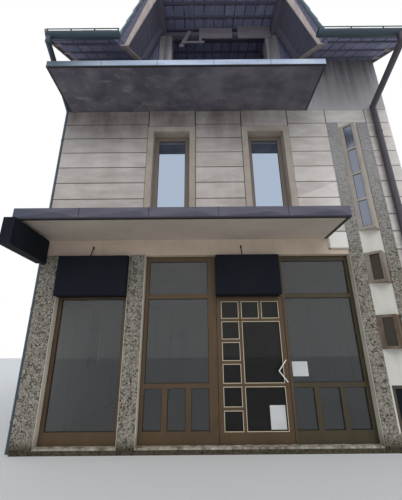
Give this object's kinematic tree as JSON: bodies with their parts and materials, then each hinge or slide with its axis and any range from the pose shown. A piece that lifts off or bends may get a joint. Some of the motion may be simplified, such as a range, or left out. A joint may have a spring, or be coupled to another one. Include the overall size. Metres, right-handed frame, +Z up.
{
  "type": "corner shop building",
  "caption": "Narrow shop building with a glazed shopfront and hinged door, canopy and balcony slab, panelled upper storey and a tiled roof with a trapezoid dormer over a loggia",
  "frame": {"origin": "on the ground, at the middle of the walls' plan", "axes": "the street front looks along -Y, its right end lies toward +X, and +Z is up"},
  "size_m": [6.9049, 10.02, 10.3798],
  "materials": {
    "aggregate": "exposed aggregate, rough",
    "concrete": "plain concrete, matt",
    "pale_render": "painted render, matt",
    "cream_render": "painted render, stained",
    "canopy_render": "painted render, matt",
    "side_render": "painted render, matt",
    "attic_render": "painted render, streaked",
    "white_plaster": "smooth plaster, matt",
    "precast": "precast panels with a faint grain",
    "window_stone": "precast frames, matt",
    "box_concrete": "painted concrete, matt",
    "balcony_concrete": "dark coated concrete with pale stains",
    "brown_metal": "brown anodised, satin",
    "bead_metal": "pale gold anodised, satin",
    "white_enamel": "white paint, gloss",
    "sign_face": "dark blue paint, gloss",
    "fascia_metal": "dark sheet metal, dented",
    "trim_metal": "blue-grey sheet metal, satin",
    "gutter_metal": "grey-green paint, weathered",
    "pipe_metal": "dark brown paint, satin",
    "pane_glass": "clear float glass",
    "roof_tile": "flat roof tiles, weathered",
    "dormer_tile": "flat grey roof tiles, weathered",
    "barge_wood": "painted boards, worn",
    "tan_wood": "bare boards, worn",
    "dark_wood": "dark stained timber"
  },
  "bodies": {
    "building": {"plinth": "aggregate", "ground_slab": "concrete", "piers": "aggregate", "pilasters": "aggregate", "shop_reveals": "pale_render", "lintel_beam": "cream_render", "left_window_frame": "brown_metal", "left_display_frame": "brown_metal", "door_frame": "brown_metal", "right_display_frame": "brown_metal", "shop_glass": "pane_glass", "door_hinges": "brown_metal", "sign_boards": "sign_face", "projecting_sign": "sign_face", "canopy_slab": "canopy_render", "canopy_fascia": "fascia_metal", "first_floor_slab": "concrete", "upper_front_wall": "concrete", "wall_panels": "precast", "window_surrounds": "window_stone", "window_frames": "brown_metal", "window_glass": "pane_glass", "stair_wall": "white_plaster", "stair_boxes": "box_concrete", "stair_glass": "pane_glass", "corner_wall": "concrete", "left_side_wall": "side_render", "right_side_wall": "side_render", "rear_wall": "side_render", "balcony_slab": "balcony_concrete", "balcony_edge": "trim_metal", "attic_floor": "concrete", "attic_front_walls": "attic_render", "loggia_posts": "attic_render", "loggia_side_walls": "dark_wood", "loggia_back_wall": "dark_wood", "loggia_lintel": "dark_wood", "loggia_boards": "tan_wood", "dormer_left_cheek": "dormer_tile", "dormer_right_cheek": "dormer_tile", "dormer_roof": "dormer_tile", "bargeboards": "barge_wood", "dormer_timbers": "dark_wood", "roof_front_left": "roof_tile", "roof_front_right": "roof_tile", "roof_front_top": "roof_tile", "roof_rear": "roof_tile", "ridge_tiles": "roof_tile", "gutters": "gutter_metal", "left_downpipe": "gutter_metal", "right_downpipe": "pipe_metal"},
    "door": {"shop_door": "brown_metal", "door_glass": "pane_glass", "door_beads": "bead_metal", "door_handle": "white_enamel"}
  },
  "joints": [
    {"name": "shop_door_hinge", "type": "hinge", "parent": "building", "child": "door", "pos_m": [-0.335, -3.647, 1.2], "axis": [0, 0, -1], "range_deg": [0, 95]}
  ]
}
